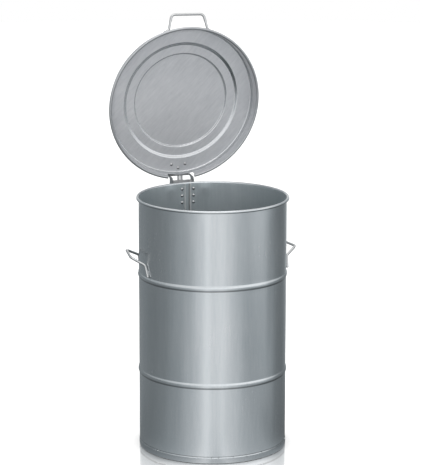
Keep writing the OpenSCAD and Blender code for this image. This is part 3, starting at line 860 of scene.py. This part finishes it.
def paint_edges(obj):
    """Gives the steps and the corner of the lid a lighter, glossier metal as painted highlight and
    its bead a darker one as painted shade, and leaves the dull one on its flats and its skirt. The
    lid is thrown back here."""
    turn = Matrix.Rotation(-OPEN_ANGLE, 3, "X")
    flat = turn @ Vector((0, 0, 1))
    centre = PIN + turn @ (Vector((0, 0, LID_RING_Z)) - PIN)
    for material in (LIT_EDGE_METAL, SHADED_BEAD_METAL):
        obj.data.materials.append(material)
    for face in obj.data.polygons:
        height = (face.center - centre).dot(flat)
        if height < BEAD_Z + RIM_OUT - LID_RING_Z:
            face.material_index = 2
        elif height > -LID_SHADE_H and abs(face.normal.dot(flat)) < LID_FLAT_LIMIT:
            face.material_index = 1


paint(body_shell, SHEET_METAL)
paint(base_ring, BAND_METAL)
paint(bottom_pan, SHADED_INSIDE_METAL)
paint_seam(side_seam)
paint(outer_seam, SHEET_METAL)
# The zinc drops get the lighter lap metal: painted highlight
paint(zinc_drops, LIT_SEAM_METAL)
paint_inside(body_shell)
paint(lid_shell, LID_METAL)
paint_edges(lid_shell)
for piece in handles:
    paint(piece, WIRE_METAL)
for node, material in (
        ("rim_wire", WIRE_METAL), ("lid_rim_wire", WIRE_METAL),
        ("hinge_bracket", LIT_BRACKET_METAL), ("hinge_leaf", PLATE_METAL),
        ("hinge_washers", PIN_METAL), ("hinge_pin", PIN_METAL),
        ("bracket_rivets", PIN_METAL), ("lid_rivets", PIN_METAL)):
    paint(nodes[node], material)


# Studio

# Greys of the cards by degrees from the camera's side, positive ones to the right. They hold at the
# floor, and the other lists say what changes close to the can, far off, and high up.
LOW_SHADES = [(-180, 0.50), (-160, 0.30), (-124, 0.28), (-108, 0.25), (-90, 0.25), (-70, 0.30),
              (-51, 0.41), (-35, 0.55), (-25, 0.70), (-18, 0.82), (-12, 1.05), (-6, 1.22), (0, 0.92),
              (6, 0.90), (12, 1.12), (18, 0.96), (23, 0.86), (36, 0.66), (53, 0.46), (63, 0.45),
              (72, 0.50), (86, 0.50), (96, 0.38), (106, 0.27), (124, 0.20), (144, 0.24), (162, 0.55),
              (180, 0.60)]
NEAR_CHANGES = {23: 0.78, 36: 0.60, 53: 0.50, 63: 0.45, 72: 0.33, 86: 0.23, 96: 0.19, 106: 0.17,
                124: 0.18, 144: 0.22}
NEAR_SHADES = [(at, NEAR_CHANGES.get(at, grey * 0.92)) for at, grey in LOW_SHADES]
FAR_CHANGES = {36: 0.68, 53: 0.54, 63: 0.68, 72: 0.76, 86: 0.66, 96: 0.44}
FAR_SHADES = [(at, FAR_CHANGES.get(at, grey)) for at, grey in LOW_SHADES]
HIGH_SHADES = [(-180, 0.60), (-90, 0.55), (-35, 1.10), (0, 1.35), (36, 1.35), (82, 1.30), (102, 0.90),
               (122, 0.55), (180, 0.60)]
CARD_NEAR_END = (280 * MM, 950 * MM)
CARD_FAR_START = (1900 * MM, 2700 * MM)
CARD_SIDES = 120
CARD_Z = 0.5 * MM
CARD_NEAR = 192 * MM
CARD_FAR = 3200 * MM
CARD_STEP = 1300 * MM
CARD_TOP = 2600 * MM
CARD_RISE = (450 * MM, 1000 * MM)
CARD_GAP_DEGREES = 20


def seen_share(make):
    """1 for rays from the camera, from gloss and through glass, and 0 for the rest."""
    path = make("ShaderNodeLightPath")
    glossy = make("ShaderNodeMath", {0: path.outputs["Is Camera Ray"],
                                     1: path.outputs["Is Glossy Ray"]}, operation="MAXIMUM")
    return make("ShaderNodeMath", {0: glossy.outputs[0],
                                   1: path.outputs["Is Transmission Ray"]},
                operation="MAXIMUM").outputs[0]


def make_world(ambient):
    """White where it is seen, and softer where it only lights."""
    world = bpy.data.worlds.new("studio")
    bpy.context.scene.world = world
    world.use_nodes = True
    world.node_tree.nodes.clear()
    make = node_maker(world)
    dim = make("ShaderNodeBackground", {"Color": (1, 1, 1, 1), "Strength": ambient})
    white = make("ShaderNodeBackground", {"Color": (1, 1, 1, 1), "Strength": 1.0})
    mix = make("ShaderNodeMixShader", {0: seen_share(make), 1: dim.outputs[0],
                                       2: white.outputs[0]})
    make("ShaderNodeOutputWorld", {"Surface": mix.outputs[0]})


FLOOR_Z = -0.2 * MM
FLOOR_GREY = 0.6
FLOOR_LIFT_R = (192 * MM, 216 * MM)
FLOOR_MIRROR_R = (200 * MM, 480 * MM)
# What is left of the lift close to the can, and of the mirror far from it; the lift held back close
# to the can is painted shade round its foot, besides its real shadow
FLOOR_LIFT_CLOSE = 0.1
FLOOR_MIRROR_FAR = 0.1


def make_floor(size, lift):
    """A pale floor, which lifts to white where it is seen and mirrors the can's foot."""
    mesh = bpy.data.meshes.new("floor")
    work = bmesh.new()
    bmesh.ops.create_circle(work, cap_ends=True, segments=96, radius=size,
                            matrix=Matrix.Translation((0, 0, FLOOR_Z)))
    work.to_mesh(mesh)
    work.free()
    floor = bpy.data.objects.new("floor", mesh)
    bpy.context.scene.collection.objects.link(floor)
    material = bpy.data.materials.new("floor_paint")
    material.use_nodes = True
    material.node_tree.nodes.clear()
    make = node_maker(material)
    shader = make("ShaderNodeBsdfPrincipled", {
        "Base Color": (FLOOR_GREY, FLOOR_GREY, FLOOR_GREY, 1), "Roughness": 0.12, "IOR": 2.0})
    where = make("ShaderNodeTexCoord").outputs["Object"]
    away = make("ShaderNodeVectorMath", {0: where}, operation="LENGTH").outputs["Value"]
    # Close to the can the white lift falls away: painted shade round the foot, besides its real
    # shadow and reflection
    rise = make("ShaderNodeMapRange", {
        "Value": away, "From Min": FLOOR_LIFT_R[0], "From Max": FLOOR_LIFT_R[1],
        "To Min": lift * FLOOR_LIFT_CLOSE, "To Max": lift})
    glow = make("ShaderNodeEmission", {"Color": (1, 1, 1, 1), "Strength": rise.outputs["Result"]})
    shown = make("ShaderNodeMixShader", {0: seen_share(make), 2: glow.outputs[0]})
    both = make("ShaderNodeAddShader", {0: shader.outputs[0], 1: shown.outputs[0]})
    fade = make("ShaderNodeMapRange", {
        "Value": away, "From Min": FLOOR_MIRROR_R[0], "From Max": FLOOR_MIRROR_R[1],
        "To Min": 1.0, "To Max": FLOOR_MIRROR_FAR})
    grazing = make("ShaderNodeLayerWeight", {"Blend": 0.5})
    share = make("ShaderNodeMath", {0: fade.outputs["Result"], 1: grazing.outputs["Facing"]},
                 operation="MULTIPLY")
    polish = make("ShaderNodeBsdfAnisotropic", {"Color": (1, 1, 1, 1), "Roughness": 0.05})
    polished = make("ShaderNodeMixShader", {
        0: share.outputs[0], 1: both.outputs[0], 2: polish.outputs[0]})
    make("ShaderNodeOutputMaterial", {"Surface": polished.outputs[0]})
    paint(floor, material)


# A card's grey where its colour is coolest and where it is warmest, and its red and blue as shares
# of its green: for a cool grey, and their change to a warm one
COOL_GREY = 0.35
WARM_GREY = 0.95
RED_SHARE = 0.92
RED_CHANGE = 0.07
BLUE_SHARE = 1.05
BLUE_CHANGE = -0.03
# The colour sockets of a Mix node
MIX_A = 6
MIX_B = 7
MIX_RESULT = 2


def cool(grey):
    """The colour of a card: the darker, the cooler."""
    warmth = min(1.0, max(0.0, (grey - COOL_GREY) / (WARM_GREY - COOL_GREY)))
    red = grey * (RED_SHARE + RED_CHANGE * warmth)
    blue = grey * (BLUE_SHARE + BLUE_CHANGE * warmth)
    return red, grey, blue, 1


def card_paint():
    """Glows with the cards' greys towards the can, and is clear from the other side."""
    material = bpy.data.materials.new("card_paint")
    material.use_nodes = True
    material.node_tree.nodes.clear()
    make = node_maker(material)
    where = make("ShaderNodeTexCoord").outputs["Object"]
    angle = make("ShaderNodeTexGradient", {"Vector": where}, gradient_type="RADIAL")
    shades = []
    for table in (NEAR_SHADES, LOW_SHADES, FAR_SHADES, HIGH_SHADES):
        shade = make("ShaderNodeValToRGB", {"Fac": angle.outputs["Fac"]})
        ramp = shade.color_ramp
        for degrees, grey in table[1:-1]:
            ramp.elements.new(0.5 + degrees / 360).color = cool(grey)
        ramp.elements[0].color = cool(table[0][1])
        ramp.elements[-1].color = cool(table[-1][1])
        shades.append(shade.outputs["Color"])
    away = make("ShaderNodeVectorMath", {0: where}, operation="LENGTH").outputs["Value"]
    height = make("ShaderNodeSeparateXYZ", {"Vector": where}).outputs["Z"]
    grey = shades[0]
    for measure, reach, shade in ((away, CARD_NEAR_END, shades[1]), (away, CARD_FAR_START, shades[2]),
                                  (height, CARD_RISE, shades[3])):
        share = make("ShaderNodeMapRange", {"Value": measure, "From Min": reach[0],
                                            "From Max": reach[1]}).outputs["Result"]
        mixed = make("ShaderNodeMix", {0: share, MIX_A: grey, MIX_B: shade}, data_type="RGBA")
        grey = mixed.outputs[MIX_RESULT]
    glow = make("ShaderNodeEmission", {"Color": grey, "Strength": 1.0})
    inner = make("ShaderNodeNewGeometry").outputs["Backfacing"]
    one_sided = make("ShaderNodeMixShader", {
        0: inner, 1: make("ShaderNodeBsdfTransparent").outputs[0], 2: glow.outputs[0]})
    make("ShaderNodeOutputMaterial", {"Surface": one_sided.outputs[0]})
    return material


def make_surround():
    """Grey cards laid round the can and stood up far round it, with a gap behind it. Only
    reflections see them, and only from the can's side."""
    turns = [math.radians(-180 + 360 * i / CARD_SIDES) for i in range(CARD_SIDES)]
    rings = ((CARD_NEAR, CARD_Z), (CARD_FAR, CARD_Z), (CARD_FAR, CARD_STEP), (CARD_FAR, CARD_TOP))
    points = [(r * math.cos(a), r * math.sin(a), z) for r, z in rings for a in turns]
    half_gap = math.radians(CARD_GAP_DEGREES)
    faces = []
    for low in range(len(rings) - 1):
        for i in range(CARD_SIDES):
            if low == 1 and abs(turns[i]) > math.pi - half_gap:
                continue
            a = low * CARD_SIDES + i
            b = low * CARD_SIDES + (i + 1) % CARD_SIDES
            faces.append((a, b, b + CARD_SIDES, a + CARD_SIDES))
    mesh = bpy.data.meshes.new("cards")
    mesh.from_pydata(points, [], faces)
    cards = bpy.data.objects.new("cards", mesh)
    bpy.context.scene.collection.objects.link(cards)
    cards.matrix_world = Matrix.Rotation(VIEW_AZIMUTH - math.pi / 2, 4, "Z")
    cards.visible_camera = False
    cards.visible_shadow = False
    cards.visible_diffuse = False
    paint(cards, card_paint())


def make_softbox(name, azimuth, elevation, distance, size, radiance, aim, glossy=True):
    """A rectangular soft lamp, placed by degrees from the camera's side. Its face has a radiance."""
    lamp = bpy.data.lights.new(name, "AREA")
    lamp.shape = "RECTANGLE"
    lamp.size, lamp.size_y = size
    lamp.energy = radiance * math.pi * size[0] * size[1]
    obj = bpy.data.objects.new(name, lamp)
    bpy.context.scene.collection.objects.link(obj)
    a, e = VIEW_AZIMUTH + math.radians(azimuth), math.radians(elevation)
    back = Vector((math.sin(a) * math.cos(e), -math.cos(a) * math.cos(e), math.sin(e)))
    obj.location = Vector(aim) + back * distance
    obj.rotation_mode = "QUATERNION"
    obj.rotation_quaternion = back.to_track_quat("Z", "Y")
    obj.visible_camera = False
    obj.visible_glossy = glossy


CENTRE = (0, 0, 0.5)
make_world(ambient=0.55)
make_floor(size=9.0, lift=0.7)
make_surround()
make_softbox("top_box", azimuth=10, elevation=78, distance=3.2, size=(2.4, 2.4), radiance=1.2,
             aim=CENTRE)
make_softbox("front_box", azimuth=4, elevation=18, distance=3.0, size=(2.2, 1.3), radiance=4.0,
             aim=CENTRE, glossy=False)


# Camera

def make_camera():
    """The photograph's camera: a long lens from the front left, slightly above."""
    a, e = VIEW_AZIMUTH, VIEW_ELEVATION
    back = Vector((math.sin(a) * math.cos(e), -math.cos(a) * math.cos(e), math.sin(e)))
    right = Vector((math.cos(a), math.sin(a), 0))
    up = back.cross(right)
    level_right = right * math.cos(VIEW_ROLL) + up * math.sin(VIEW_ROLL)
    level_up = back.cross(level_right)
    data = bpy.data.cameras.new("camera")
    data.sensor_fit = "AUTO"
    data.sensor_width = 36.0
    data.lens = VIEW_FOCAL_PX / VIEW_LONG_SIDE_PX * data.sensor_width
    data.clip_start = 0.1
    data.clip_end = 100
    camera = bpy.data.objects.new("camera", data)
    bpy.context.scene.collection.objects.link(camera)
    target = right * VIEW_RIGHT + Vector((0, 0, VIEW_TARGET_Z))
    place = Matrix((level_right, level_up, back)).transposed().to_4x4()
    place.translation = target + back * VIEW_DISTANCE
    camera.matrix_world = place
    bpy.context.scene.camera = camera


make_camera()
bpy.context.scene.view_settings.view_transform = "Standard"
